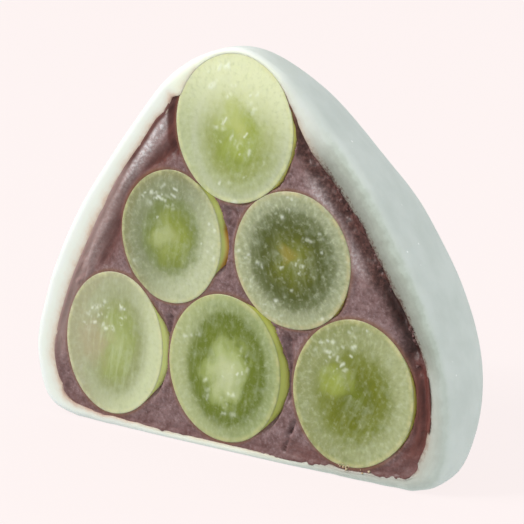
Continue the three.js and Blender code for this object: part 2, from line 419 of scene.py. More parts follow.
def make_dough():
    """The shell of dough, from its back round the cut and in again."""
    points, inwards, thickness = outline(DOUGH_AROUND)
    inner = points + inwards * thickness[:, None]
    right = smooth(-4.0, 22.0, points[:, 0])
    far_in, depth, share = dough_profile(closed_up(points, inwards, thickness), right)
    turns = 1.0 - np.linspace(0.0, 1.0, DOUGH_BACK_RINGS + 1)[1:] ** 1.5 * LAST_RING
    outside = swell(points, REACH, turns, depth[0])
    inside = swell(inner, REACH - BACK_SKIN, np.linspace(0.08, 0.97, DOUGH_INSIDE_RINGS))

    # The cut dough sinks towards the paste, most on the right, where the knife dragged it.
    sunk = depth + smooth(0.4, 1.0, share) ** 1.5 * (0.05 + 0.3 * right)
    cut = behind_cut(points[:, 0] + inwards[:, 0] * far_in, sunk, points[:, 1] + inwards[:, 1] * far_in)
    rings = dough_relief(np.concatenate([outside, cut, inside]), len(outside), len(cut))
    poles = swell_pole(points, REACH), swell_pole(inner, REACH - BACK_SKIN)
    piece = ring_stack("mochi_dough", rings, *poles)

    # What shows of the paste in the dough: smeared over it on the right, and as a tint where it is thin.
    z = points[:, 1]
    # Low on the right, the stain keeps at least 0.6 of its share, which also darkens the lower right lip
    # as painted shade.
    stained_and_shaded = right * (0.6 + 0.4 * smooth(17.0, 25.0, z)) * (1.0 - 0.75 * smooth(51.0, 58.0, z))
    across = np.concatenate([np.zeros(outside.shape[:2]), share, np.ones(inside.shape[:2])])
    closed = 0.5 * smooth(*CLOSED_ABOVE, inner[:, 1]) * (1.0 - right)
    thin = np.maximum(smooth(1.6, 0.9, thickness), closed)
    for name, values in (("across", across), ("stained_and_shaded", stained_and_shaded), ("thin", thin)):
        note(piece, name, with_ends(np.broadcast_to(values, across.shape)))
    return piece


def dough_relief(rings, outside, cut):
    """Moves the outside in and out in soft lumps, and gives the cut a slight unevenness."""
    middle = np.array([0.0, CUT_Y, LUMPS_FROM])
    out = rings - middle
    out /= norm(out, axis=-1)[..., None]
    lumps = 0.3 * noise(rings, 17.0, 3) + 0.12 * noise(rings, 7.0, 4) + 0.02 * noise(rings, 2.6, 5)
    free = smooth(0.0, 4.0, rings[..., 2])
    strength = np.zeros(len(rings))
    strength[:outside] = 1.0
    strength[outside : outside + cut] = np.linspace(1.0, 0.0, cut)
    moved = rings + out * (lumps * free * strength[:, None])[..., None]
    band = slice(outside, outside + cut)
    ripple = 0.12 * noise(rings[band], 6.0, 8) + 0.03 * noise(rings[band], 2.4, 9)
    moved[band, :, 1] += ripple * smooth(0.0, 0.5, np.linspace(0, 1, cut))[:, None]
    return moved


# ---- The paste ----

PASTE_AROUND = 600
PASTE_RINGS = 136
PASTE_BACK_RINGS = 20
HOLLOW_SHARE = 0.965  # the width of the paste's hollow for a grape, as a share of its cut
PASTE_MIDDLE = np.array([0.0, 24.0])
PASTE_RECESS = 0.42  # how deep the paste's face lies
PASTE_LAP = (0.3, 0.75)  # how far it passes the dough's inner edge: in general, and on the left

# Forms in the paste's face: a path, its width, and how deep it lies (below zero it stands proud).
PASTE_FORMS = {
    "left_ridge": (
        [(-12.6, 53.4), (-15.9, 48.9), (-19.2, 45.0), (-23.3, 38.8), (-26.5, 32.4), (-29.6, 26.2)],
        0.8, -0.36,
    ),
    "left_valley": (
        [(-11.0, 48.9), (-14.6, 45.9), (-18.4, 42.0), (-21.3, 37.4), (-23.6, 32.8), (-25.8, 28.0)],
        1.1, 0.6,
    ),
    "spike": ([(-10.8, 57.6), (-10.9, 54.9), (-11.2, 51.6), (-11.2, 48.6)], 0.8, 0.3),
    "swirl": ([(-31.4, 27.4), (-29.6, 27.6), (-28.6, 26.2), (-29.6, 24.6), (-31.4, 23.6)], 0.5, -0.35),
    "right_groove": (
        [(12.8, 54.4), (15.1, 50.4), (21.8, 42.5), (27.3, 35.5), (31.7, 28.0), (34.3, 22.7), (35.4, 20.0)],
        1.4,
        0.7,
    ),
    "torn_pit": ([(29.6, 31.4), (31.6, 28.2), (33.2, 25.2), (34.2, 23.2)], 1.0, 0.7),
    "right_ridge": ([(12.0, 51.2), (14.8, 47.6), (18.4, 42.8), (22.2, 37.4), (25.8, 31.8)], 1.1, -0.2),
    "low_right_line": ([(36.2, 19.0), (36.7, 14.0), (36.8, 10.0), (36.4, 6.8)], 0.6, 0.4),
    "crack_mouth": ([(12.1, 7.3), (11.7, 6.3), (11.4, 5.5)], 0.34, 0.5),
    "crack": ([(11.6, 6.2), (11.0, 5.1), (11.1, 4.2), (10.6, 3.4), (10.4, 2.3)], 0.18, 0.6),
    "neck_2_3": ([(-0.5, 39.6), (0.8, 36.8), (1.0, 33.4)], 0.9, 0.7),
    "neck_5_6": ([(10.9, 20.4), (11.3, 16.0), (11.2, 11.4)], 0.8, 1.2),
    "neck_4_5": ([(-12.3, 20.4), (-12.7, 15.4), (-12.4, 11.0)], 0.7, 0.8),
    "neck_3_5": ([(4.0, 27.4), (6.3, 25.0), (8.8, 22.6)], 0.8, 0.8),
    "neck_1_2": ([(-7.4, 44.4), (-3.6, 41.8)], 0.8, 0.7),
}

# Crumbs of torn paste where it has pulled away on the right, and pale crumbs under the last grape: a
# path, how many, how far they stray from it, and their least and greatest length.
TORN_BITS = ([(14.6, 53.0), (21.0, 45.0), (28.0, 35.6), (33.6, 27.0), (35.6, 21.0)], 26, 0.5, (0.35, 0.8))
PALE_CRUMBS = ([(20.4, 2.4), (23.0, 1.9), (26.4, 2.2)], 12, 0.24, (0.2, 0.42))


def grape_centre(name):
    low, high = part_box(name)
    return np.array([(low.x + high.x) / 2, (low.z + high.z) / 2]) / MM


def grape_local(name, points):
    """Places on the cut in a grape's own units: its cut's edge is 1 from the middle."""
    look = GRAPES[name]
    lean = math.radians(look["lean"])
    away = points - grape_centre(name)
    across = away[:, 0] * math.cos(lean) - away[:, 1] * math.sin(lean)
    up = away[:, 0] * math.sin(lean) + away[:, 1] * math.cos(lean)
    return np.stack([across / look["size"][0], up / look["size"][1]], axis=1)


def from_grapes(points):
    """How far each (across, up) point is from the nearest grape's edge, in mm, below 0 inside it."""
    away = np.min([norm(grape_local(name, points), axis=1) for name in GRAPES], axis=0)
    return (away - 1.0) * GRAPE_RADIUS


def facing(disc, angle, spread):
    """1 where a place on a grape's disc lies in that direction, fading over the spread, in degrees."""
    off = np.degrees(np.arctan2(disc[..., 1], disc[..., 0])) - angle
    off = (off + 180.0) % 360.0 - 180.0
    return np.exp(-((off / spread) ** 2))


def lapped(points):
    """1 down the left side, where the paste is smeared over the dough's edge, and 0 elsewhere."""
    x, z = points[:, 0], points[:, 1]
    return smooth(-4.0, -10.0, x) * smooth(57.0, 55.0, z) * smooth(1.5, 5.0, z)


def paste_zones(points, to_edge):
    """Shares from 0 to 1 of the ways the paste's face looks."""
    x, z = points[:, 0], points[:, 1]
    left = 1.0 - smooth(-12.0, -8.0, x)
    right = smooth(6.0, 14.0, x)
    flat = with_depth(points)
    wavering = to_edge + 0.5 * noise(flat, 2.2, 60) + 0.3 * noise(flat, 0.9, 61)
    # By the torn edge on the right, the dark colour is partly torn paste and partly painted shade in the
    # groove.
    torn = right * smooth(4.6, 2.6, wavering) * smooth(18.0, 23.0, z)
    # The spike, a narrow gap beside the top grape, gets dark red as painted shade.
    spike = smooth(1.7, 1.0, distance_to(PASTE_FORMS["spike"][0], points))
    # Painted sheen: pale lavender along the ridges, for light caught on their wet slopes.
    painted_ridge_sheen = near(PASTE_FORMS["left_ridge"][0], points, 0.95) * (0.2 + 0.8 * smooth(40.0, 46.0, z))
    painted_ridge_sheen = painted_ridge_sheen * (1.0 - spike) * smooth(25.0, 30.0, z) * smooth(0.9, 1.6, to_edge)
    right_ridge = near(PASTE_FORMS["right_ridge"][0], points, 1.0)
    painted_ridge_sheen = np.maximum(painted_ridge_sheen, 0.6 * right_ridge * smooth(49.0, 45.0, z) * smooth(31.0, 36.0, z))
    smeared = smooth(7.0, 1.0, wavering) * left * smooth(8.0, 14.0, z)
    # Along the right ridge, the smeared colour's pale mauve is partly painted sheen.
    smeared = np.maximum(smeared, 0.5 * near(PASTE_FORMS["right_ridge"][0], points, 1.5))
    # Painted shade: the valley beside the left ridge is darkened in colour as well as in form.
    valley = near(PASTE_FORMS["left_valley"][0], points, 1.7) * (0.7 + 0.3 * smooth(30.0, 42.0, z))
    edge = smooth(1.6, 0.9, to_edge) * (1.0 - torn) * (0.3 + 0.65 * smooth(42.0, 47.0, z))
    # Low on the right, beside the groove, the dark red is partly painted shade.
    low_right = right * smooth(4.6, 2.2, wavering) * smooth(24.0, 19.0, z)
    low_right = low_right * (0.6 + 0.4 * smooth(3.0, 8.0, z))
    foot = 0.35 * smooth(3.2, 1.0, wavering) * smooth(10.0, 3.0, z)
    red = np.max([valley, spike, edge, low_right, foot], axis=0)
    # Painted shade: the deep pit in the torn paste is coloured nearly black.
    painted_pit_shade = near(PASTE_FORMS["torn_pit"][0], points, 1.5)
    return dict(torn=torn, painted_ridge_sheen=painted_ridge_sheen, smeared=smeared, red=red, painted_pit_shade=painted_pit_shade)


def paste_depth(points, to_edge, along, zones):
    """How deep the paste's face lies behind the cut at each (across, up) point."""
    flat = with_depth(points)
    depth = PASTE_RECESS + 0.12 * noise(flat, 7.0, 21)
    for path, width, deep in PASTE_FORMS.values():
        depth = depth + deep * near(path, points, width)
    strokes = noise(np.stack([to_edge / 0.9, along / 9.0, 0 * along], axis=1), 1.0, 27)
    depth = depth + 0.1 * strokes * zones["smeared"]
    grain = 0.13 * layered(flat, 1.4, 31, 3) + 0.06 * noise(flat, 0.6, 35)
    depth = depth + grain * (1.0 - 0.5 * zones["smeared"]) * (1.0 + 1.2 * zones["torn"])
    depth = depth - 0.25 * smooth(1.4, 0.0, to_edge) * (1.0 - zones["torn"])
    smear = 0.34 - 0.36 * smooth(0.0, 0.5, to_edge) + 0.05 * noise(flat, 1.8, 36)
    depth = depth + (smear - depth) * lapped(points) * smooth(1.9, 0.6, to_edge)
    for name, look in GRAPES.items():
        disc = grape_local(name, points)
        away = norm(disc, axis=1)
        beyond = (away - 1.0) * GRAPE_RADIUS

        # The paste meets each grape just behind its rim, but for where it has drawn back.
        flush = rim_depth(look, disc) + 0.06
        meets = smooth(1.1, 0.2, beyond)
        depth = depth + (flush - depth) * meets * (1.0 - 0.6 * zones["torn"])
        for angle, spread, deep, width in look["moat"]:
            drawn = deep * facing(disc, angle, spread)
            held = smooth(width * 1.15, width * 0.75, beyond) * (beyond > -2.0)
            bared = (held > 0.0) & (drawn > flush)
            depth = np.where(bared, np.maximum(depth, flush + (drawn - flush) * held), depth)
        hollow = GRAPE_DEPTH * np.sqrt(np.maximum(0.0, 1.0 - (away / HOLLOW_SHARE) ** 2))
        depth = np.maximum(depth, hollow)
    return depth


def make_paste():
    """The filling: its face from the middle out, its hidden back, and the crumbs."""
    points, inwards, thickness = outline(PASTE_AROUND)
    rim = points + inwards * (thickness - between(PASTE_LAP, lapped(points)))[:, None]
    share = np.linspace(0.0, 1.0, PASTE_RINGS + 1)[1:, None, None] ** 0.85
    face = PASTE_MIDDLE + (rim - PASTE_MIDDLE) * share
    flat = face.reshape(-1, 2)
    to_edge = (norm(rim - PASTE_MIDDLE, axis=1)[None, :] * (1.0 - share[..., 0])).ravel()
    steps = norm(np.roll(points, -1, axis=0) - points, axis=1)
    along = np.tile(np.cumsum(steps), PASTE_RINGS)
    zones = paste_zones(flat, to_edge)
    depth = paste_depth(flat, to_edge, along, zones)
    front = behind_cut(flat[:, 0], depth, flat[:, 1]).reshape(PASTE_RINGS, -1, 3)
    back = swell(rim, REACH - BACK_SKIN, np.linspace(0.16, 0.97, PASTE_BACK_RINGS))
    rings = np.concatenate([front, back])
    first = (PASTE_MIDDLE[0], CUT_Y + depth[:PASTE_AROUND].mean(), PASTE_MIDDLE[1])
    piece = ring_stack("red_bean_paste", rings[::-1], swell_pole(rim, REACH - BACK_SKIN), first)

    # What the material reads is worked out for the face; behind it every share is 0.
    hidden = np.zeros(back.shape[0] * PASTE_AROUND)
    zones["beside"] = smooth(0.7, 0.1, from_grapes(flat))
    zones["streak_in"] = to_edge
    zones["streak_on"] = along
    for name, values in zones.items():
        whole = np.concatenate([values, hidden]).reshape(rings.shape[:2])
        note(piece, name, with_ends(whole[::-1]))
    return join(piece, make_crumbs(front.reshape(-1, 3)))


def strewn(path, count, stray, lengths, seed):
    """Places and lengths of crumbs along a path on the cut, as (across, up, length)."""
    rng = np.random.default_rng(seed)
    stops = np.array(path, float)
    at = rng.uniform(0.0, len(stops) - 1.0, count)
    along = [np.interp(at, np.arange(len(stops)), stops[:, k]) for k in (0, 1)]
    places = [where + rng.normal(0.0, stray, count) for where in along]
    return list(zip(*places, rng.uniform(*lengths, count)))


def lump(place, length, seed):
    """A small uneven lump: its points, and its faces as triangles and quads."""
    around, rings = 12, 8
    turn = np.linspace(0.0, 2 * math.pi, around, endpoint=False)
    tilt = np.linspace(0.0, math.pi, rings + 2)[1:-1, None]
    ball = [np.sin(tilt) * np.cos(turn), np.sin(tilt) * np.sin(turn), np.cos(tilt) + 0 * turn]
    ball = np.vstack([[(0, 0, 1)], np.stack(ball, axis=-1).reshape(-1, 3), [(0, 0, -1)]])
    stretch = 0.5 + 0.2 * hashed(np.array([[seed, k, 7] for k in range(3)]), 3)
    ball = ball * stretch * length * (1.0 + 0.35 * noise(ball + seed, 0.8, 40))[:, None]
    faces = [(0, 1 + k, 1 + (k + 1) % around) for k in range(around)]
    for j in range(rings - 1):
        for k in range(around):
            here, beside = 1 + j * around + k, 1 + j * around + (k + 1) % around
            faces.append((here, here + around, beside + around, beside))
    last = len(ball) - 1
    faces += [(last, last - 1 - k, last - 1 - (k + 1) % around) for k in range(around)]
    return ball + place, faces


def make_crumbs(face):
    """The torn bits and pale crumbs, as one mesh that joins the paste, lying on points of its face."""
    vertices, faces, pale = [], [], []
    torn, light = strewn(*TORN_BITS, 7), strewn(*PALE_CRUMBS, 8)
    for i, (x, z, length) in enumerate(torn + light):
        nearest = np.argmin((face[:, 0] - x) ** 2 + (face[:, 2] - z) ** 2)
        points, corners = lump((x, face[nearest, 1] - 0.12 * length, z), length, i + 1)
        faces += [tuple(len(vertices) + c for c in corner) for corner in corners]
        vertices += points.tolist()
        pale += [float(i >= len(torn))] * len(points)
    crumbs = add_mesh("crumbs", vertices, faces)
    note(crumbs, "crumb", pale)
    note(crumbs, "torn", 0.7 * (1.0 - np.array(pale)))
    return crumbs


def join(piece, other):
    with bpy.context.temp_override(active_object=piece, selected_editable_objects=[piece, other]):
        bpy.ops.object.join()
    return piece


# ---- The grapes ----

GRAPE_AROUND = 320
GRAPE_FACE_RINGS = 96
GRAPE_WALL_RINGS = 24
DOMING = 0.2  # how far the flesh stands out in the middle, in mm
GLINT_WIDTH = 0.021  # of a wet stroke, in units of the radius
RIM_DEPTH = 0.12  # how deep the rim lies, without its lean
BULGE_DEPTH = 1.3  # how deep the wall of a grape reaches its bulge


def glint_at(look, disc, seed):
    """1 on a grape's wet strokes and juice beads, which get a painted highlight; 0 away from them."""
    rng = np.random.default_rng(seed)
    flat = disc.reshape(-1, 2)
    glint = np.zeros(len(flat))
    for x, y, spread, count, length, angle in look["glints"]:
        for _ in range(count):
            middle = np.array([x, y]) + rng.normal(0.0, spread, 2)
            turn = math.radians(angle + rng.normal(0.0, 18.0))
            half = length * rng.uniform(0.12, 0.4) * np.array([math.cos(turn), math.sin(turn)])
            width = GLINT_WIDTH * rng.uniform(0.6, 1.7)
            stroke = rng.uniform(0.3, 1.0) * near([middle - half, middle + half], flat, width)
            glint = np.maximum(glint, stroke)
    broken = smooth(-0.6, 0.5, layered(with_depth(flat), 0.06, seed + 5, 2))
    return (glint * broken).reshape(disc.shape[:-1])


def bulge(look, disc):
    """How far a grape's wall stands out past the rim of its cut, in units of its radius."""
    return np.max([facing(disc, m[0], m[1]) * m[3] for m in look["moat"]], axis=0) / look["size"][0]


def rim_depth(look, disc):
    """How deep the rim of a grape's cut lies, which leans back on the left."""
    return RIM_DEPTH + look["sunk"] * (0.5 - 0.5 * disc[..., 0])


def grape_relief(look, disc, glint, seed):
    """How deep a grape's cut flesh lies at places on its disc: domed, with fibres, beads and a rim."""
    away = norm(disc, axis=-1)
    turn = np.arctan2(disc[..., 1], disc[..., 0])
    spokes = np.stack([np.cos(turn) * 9.0, np.sin(turn) * 9.0, away * 1.6], axis=-1)
    flat = 11.0 * with_depth(disc)
    fibres = noise(spokes, 0.4, seed) * smooth(0.4, 0.8, away) * (1.0 - smooth(0.93, 0.99, away))
    beads = noise(flat, 0.9, seed + 1) + 0.5 * noise(flat, 0.5, seed + 2)
    middle = layered(flat, 4.0, seed + 3, 3) * (1.0 - smooth(0.35, 0.7, away))
    rounding = DOMING * (away**2 - 1.0) - 0.05 * (1.0 - smooth(0.965, 1.0, away) ** 2)
    rough = look["grain"] * (0.01 * fibres + 0.012 * beads) + 0.08 * middle - 0.05 * glint
    return rim_depth(look, disc) + rounding + rough * (1.0 - smooth(0.94, 1.0, away))


def make_grape(name, seed):
    """One cut grape: its face from the middle out to the skin, then its wall."""
    look = GRAPES[name]
    turn = np.linspace(0.0, 2 * math.pi, GRAPE_AROUND, endpoint=False)
    ring = np.stack([np.cos(turn), np.sin(turn)], axis=-1)
    uneven = 1.0 + 0.012 * noise(with_depth(ring), 0.6, seed)
    away = np.linspace(0.0, 1.0, GRAPE_FACE_RINGS + 1)[1:, None]
    face_disc = away[..., None] * ring
    disc = face_disc * uneven[:, None]
    glint = glint_at(look, face_disc, seed)
    face_depth = grape_relief(look, face_disc, glint, seed)

    # Behind the face, the wall bulges and follows the whole grape back to its pole.
    back = np.linspace(0.0, 1.0, GRAPE_WALL_RINGS + 1)[1:, None] ** 1.6 * LAST_RING * math.pi / 2
    behind = (GRAPE_DEPTH - face_depth[-1]) * np.sin(back)
    stands_out = 1.0 + bulge(look, disc[-1]) * smooth(0.0, BULGE_DEPTH, behind)
    wall_disc = disc[-1][None] * (np.cos(back) * stands_out)[..., None]
    wall_depth = face_depth[-1] + behind
    disc = np.concatenate([disc, wall_disc])
    depth = np.concatenate([face_depth, wall_depth])

    lean = math.radians(look["lean"])
    across, up = disc[..., 0] * look["size"][0], disc[..., 1] * look["size"][1]
    centre = grape_centre(name)
    leant_across = centre[0] + across * math.cos(lean) + up * math.sin(lean)
    leant_up = centre[1] - across * math.sin(lean) + up * math.cos(lean)
    rings = behind_cut(leant_across, depth, leant_up)
    middle = (centre[0], CUT_Y + face_depth[0].mean(), centre[1])
    pole = (centre[0], CUT_Y + GRAPE_DEPTH, centre[1])
    piece = ring_stack("cut_" + name, rings[:, ::-1], middle, pole)
    rim = np.concatenate([np.broadcast_to(away, face_depth.shape), 1.0 + wall_depth - face_depth[-1]])
    spin = np.broadcast_to(turn, rim.shape)
    spokes = np.stack([np.cos(spin), np.sin(spin), 0.7 * np.minimum(rim, 1.0)], axis=-1)
    flat = np.stack([disc[..., 0], disc[..., 1], 0 * rim], axis=-1)
    shines = np.concatenate([glint, 0 * wall_depth])
    for kind, values in (("disc", flat), ("rim", rim), ("spokes", spokes), ("glint", shines)):
        note(piece, kind, with_ends(values[:, ::-1]))
    return piece


# ---- Materials ----

SHEEN = 0.035  # how much light the wetness adds, as a linear share


def rgb(red, green, blue):
    """A colour given as it looks on screen, 0 to 255, as Blender's linear RGBA."""
    shown = np.array([red, green, blue]) / 255.0
    linear = np.where(shown <= 0.04045, shown / 12.92, ((shown + 0.055) / 1.055) ** 2.4)
    return (*linear.tolist(), 1.0)


def wet(red, green, blue):
    """A colour as it should show on the wet cut flesh, less the sheen that the wetness adds to it."""
    return (*[max(part - SHEEN, 0.004) for part in rgb(red, green, blue)[:3]], 1.0)


class Look:
    """A node material under construction. Each method adds a node and returns its output."""

    def __init__(self, name):
        self.material = bpy.data.materials.new(name)
        self.material.use_nodes = True
        self.tree = self.material.node_tree
        self.shader = self.tree.nodes["Principled BSDF"]

    def node(self, kind, inputs, output=0, **settings):
        made = self.tree.nodes.new("ShaderNode" + kind)
        for name, value in settings.items():
            setattr(made, name, value)
        for name, value in inputs.items():
            self.put(made.inputs[name], value)
        return made.outputs[output]

    def put(self, socket, value):
        if isinstance(value, bpy.types.NodeSocket):
            self.tree.links.new(value, socket)
        else:
            socket.default_value = value

    def set(self, **values):
        """Sets the shader's sockets, named with _ for a space."""
        for name, value in values.items():
            self.put(self.shader.inputs[name.replace("_", " ")], value)

    def vector(self, operation, a, b, output=0):
        return self.node("VectorMath", {0: a, 1: b}, output, operation=operation)

    def stored(self, name, vector=False):
        return self.node("Attribute", {}, "Vector" if vector else "Fac", attribute_name=name)

    def place(self):
        """The place on the object, in mm."""
        spot = self.node("TexCoord", {}, "Object")
        return self.node("VectorMath", {0: spot, 3: 1000.0}, operation="SCALE")

    def noise(self, vector, size, detail=3.0, rough=0.55):
        inputs = {"Vector": vector, "Scale": 1.0 / size, "Detail": detail, "Roughness": rough}
        return self.node("TexNoise", inputs, "Fac")

    def grains(self, vector, size):
        return self.node("TexVoronoi", {"Vector": vector, "Scale": 1.0 / size}, "Distance")

    def step(self, value, low, high, start=0.0, end=1.0):
        inputs = {"Value": value, 1: low, 2: high, 3: start, 4: end}
        return self.node("MapRange", inputs, interpolation_type="SMOOTHSTEP")

    def calc(self, operation, a, b=0.0):
        return self.node("Math", {0: a, 1: b}, operation=operation)

    def times(self, a, b):
        return self.calc("MULTIPLY", a, b)

    def mix(self, share, a, b):
        inputs = {0: share, 6: a, 7: b}
        return self.node("Mix", inputs, 2, data_type="RGBA", clamp_factor=True)

    def ramp(self, value, stops, colour=rgb):
        """A blend of colours along a value, from stops given as (place, red, green, blue)."""
        made = self.tree.nodes.new("ShaderNodeValToRGB")
        made.color_ramp.interpolation = "EASE"
        marks = made.color_ramp.elements
        while len(marks) < len(stops):
            marks.new(0.5)
        for mark, (place, *numbers) in zip(marks, stops):
            mark.position, mark.color = place, colour(*numbers)
        self.tree.links.new(value, made.inputs[0])
        return made.outputs[0]

    def bump(self, height, millimetres, strength=1.0, under=None):
        inputs = {"Height": height, "Distance": millimetres * MM, "Strength": strength}
        if under is not None:
            inputs["Normal"] = under
        return self.node("Bump", inputs)


def dough_material():
    look = Look("rice_dough")
    place = look.place()
    across = look.stored("across")
    cloud = look.noise(place, 6.0, 4.0)
    white = look.mix(look.step(cloud, 0.3, 0.7), rgb(213, 217, 214), rgb(223, 226, 224))
    # Painted highlights: sparse pure white flecks on the dough.
    painted_highlight_fleck = look.step(look.grains(place, 2.6), 0.1, 0.04)
    white = look.mix(look.times(painted_highlight_fleck, look.step(cloud, 0.5, 0.56)), white, rgb(255, 255, 255))

    # Beside the paste the dough is tinted, as the paste shows through it.
    blur = look.noise(place, 1.8, 3.0, 0.6)
    reach = look.calc("ADD", across, look.step(blur, 0.25, 0.75, -0.07, 0.07))
    specks = look.times(look.noise(place, 0.4, 2.0), look.step(across, 0.35, 0.8))
    speckled = look.calc("ADD", reach, look.step(specks, 0.4, 0.7, -0.03, 0.24))
    clean = look.ramp(
        reach,
        [
            (0.25, 222, 224, 222), (0.5, 221, 223, 216), (0.68, 218, 215, 206),
            (0.8, 214, 203, 190), (0.9, 206, 184, 168), (1.0, 190, 158, 143),
        ],
    )
    clean = look.mix(look.step(across, 0.05, 0.3), white, clean)

    # On the right the knife has dragged paste over the cut, thickest next to the paste; low down the stain
    # also stands in for painted shade.
    stain = look.ramp(
        speckled,
        [
            (0.02, 210, 215, 209), (0.15, 194, 200, 191), (0.3, 172, 176, 166), (0.45, 156, 158, 149),
            (0.6, 143, 144, 135), (0.75, 135, 132, 123), (0.88, 115, 105, 96), (1.0, 92, 74, 66),
        ],
    )
    stain = look.mix(look.step(across, 0.0, 0.15), white, stain)
    colour = look.mix(look.stored("stained_and_shaded"), clean, stain)
    tint = look.times(look.stored("thin"), look.step(across, 0.0, 0.85, 0.1, 0.95))
    colour = look.mix(tint, colour, rgb(242, 245, 218))
    fine = look.noise(place, 0.9, 3.0)
    look.set(
        Base_Color=colour,
        Roughness=look.step(cloud, 0.2, 0.8, 0.42, 0.52),
        Subsurface_Weight=0.8,
        Subsurface_Radius=(1.0, 0.95, 0.9),
        Subsurface_Scale=0.0022,
        Specular_IOR_Level=0.35,
        Normal=look.bump(fine, 0.03, 0.5, look.bump(cloud, 0.25, 0.4)),
    )
    return look.material


def paste_material():
    look = Look("red_bean_paste")
    place = look.place()
    coarse = look.noise(place, 1.7, 5.0, 0.62)
    grain = look.noise(place, 0.5, 3.0, 0.6)
    streak_at = look.node("CombineXYZ", {0: look.stored("streak_in"), 1: look.stored("streak_on")})
    streak_at = look.vector("MULTIPLY", streak_at, (1.0, 0.11, 1.0))
    strokes = look.noise(streak_at, 1.0, 4.0, 0.6)

    body = look.ramp(coarse, [(0.28, 94, 64, 62), (0.5, 120, 91, 91), (0.72, 138, 111, 112)])
    body = look.mix(look.step(grain, 0.5, 0.72, 0.0, 0.5), body, rgb(160, 136, 139))
    body = look.mix(look.step(grain, 0.48, 0.3, 0.0, 0.5), body, rgb(80, 48, 46))

    # Smeared smooth on the left, palest next to the dough.
    near_dough = look.step(look.stored("streak_in"), 5.0, 0.3)
    smeared = look.mix(near_dough, rgb(120, 82, 79), rgb(172, 144, 139))
    smeared = look.mix(look.step(strokes, 0.42, 0.72, 0.0, 0.6), smeared, rgb(174, 150, 149))
    smeared = look.mix(look.step(strokes, 0.48, 0.26, 0.0, 0.6), smeared, rgb(112, 66, 60))
    body = look.mix(look.times(look.stored("smeared"), 0.85), body, smeared)
    # The torn edge's darkest colours are partly painted shade in the groove beside the dough.
    ragged = look.ramp(
        grain, [(0.3, 50, 22, 19), (0.48, 76, 42, 37), (0.64, 98, 62, 57), (0.85, 136, 106, 101)]
    )
    body = look.mix(look.stored("torn"), body, ragged)
    # The red share is partly the paste's own redder tone at its borders and partly painted shade in the
    # valley, the spike's gap and beside the right groove.
    red = look.mix(look.step(strokes, 0.25, 0.75), rgb(78, 33, 28), rgb(106, 57, 49))
    red_and_shade_share = look.times(look.stored("red"), look.step(coarse, 0.2, 0.6, 0.8, 1.0))
    body = look.mix(red_and_shade_share, body, red)
    # Painted sheen on the ridges: pale lavender for light on the wet paste.
    painted_ridge_sheen = look.mix(look.step(grain, 0.4, 0.64), rgb(172, 153, 154), rgb(216, 207, 209))
    # The first of these, nearly black, is painted shade in the torn pit.
    painted_pit_shade, amber, crumb = rgb(46, 20, 17), rgb(122, 82, 52), rgb(190, 168, 138)
    for name, share, colour in (
        ("painted_pit_shade", 0.8, painted_pit_shade), ("painted_ridge_sheen", 0.95, painted_ridge_sheen), ("beside", 0.55, amber), ("crumb", 1.0, crumb)
    ):
        body = look.mix(look.times(look.stored(name), share), body, colour)
    look.set(
        Base_Color=body,
        Roughness=look.step(coarse, 0.2, 0.8, 0.36, 0.56),
        Subsurface_Weight=0.25,
        Subsurface_Radius=(1.0, 0.6, 0.5),
        Subsurface_Scale=0.0007,
        Specular_IOR_Level=0.32,
        Coat_Weight=0.1,
        Coat_Roughness=0.28,
        Normal=look.bump(grain, 0.12, 0.7, look.bump(coarse, 0.25, 0.5)),
    )
    return look.material


def turned(look, disc, angle):
    """From -1 to 1 across a grape's disc towards an angle in degrees."""
    way = (math.cos(math.radians(angle)), math.sin(math.radians(angle)), 0.0)
    return look.vector("DOT_PRODUCT", disc, way, "Value")


def grape_flesh(look, colours, disc, wander):
    """The flesh's colour from the middle outwards, along a distance that wanders."""
    moved = look.vector("SUBTRACT", disc, (*colours["core_at"], 0.0))
    stretch = (1.0 / colours["stretch"][0], 1.0 / colours["stretch"][1], 1.0)
    moved = look.vector("MULTIPLY", moved, stretch)
    from_core = look.node("VectorMath", {0: moved}, "Value", operation="LENGTH")
    inner = look.step(from_core, 0.85, 0.3)
    strayed = look.times(look.step(wander, 0.25, 0.75, -1.0, 1.0), inner)
    from_core = look.calc("ADD", from_core, look.times(strayed, colours["wander"]))
    stops = [(place, *numbers) for place, numbers in zip(FLESH_STOPS, colours["flesh"])]
    flesh = look.ramp(from_core, stops, wet)

    angle, start, pale, share = colours["lit"]
    outer = look.step(from_core, start, start + 0.3)
    lit = look.step(turned(look, disc, angle), -0.35, 0.85, 0.0, share)
    flesh = look.mix(look.times(lit, outer), flesh, wet(*pale))
    place, radius, blot = colours["heart"]
    from_heart = look.vector("DISTANCE", disc, (*place, 0.0), "Value")
    from_heart = look.calc("ADD", from_heart, look.step(wander, 0.3, 0.7, -0.1, 0.1))
    return look.mix(look.step(from_heart, radius * 1.7, radius * 0.4, 0.0, 0.8), flesh, wet(*blot))


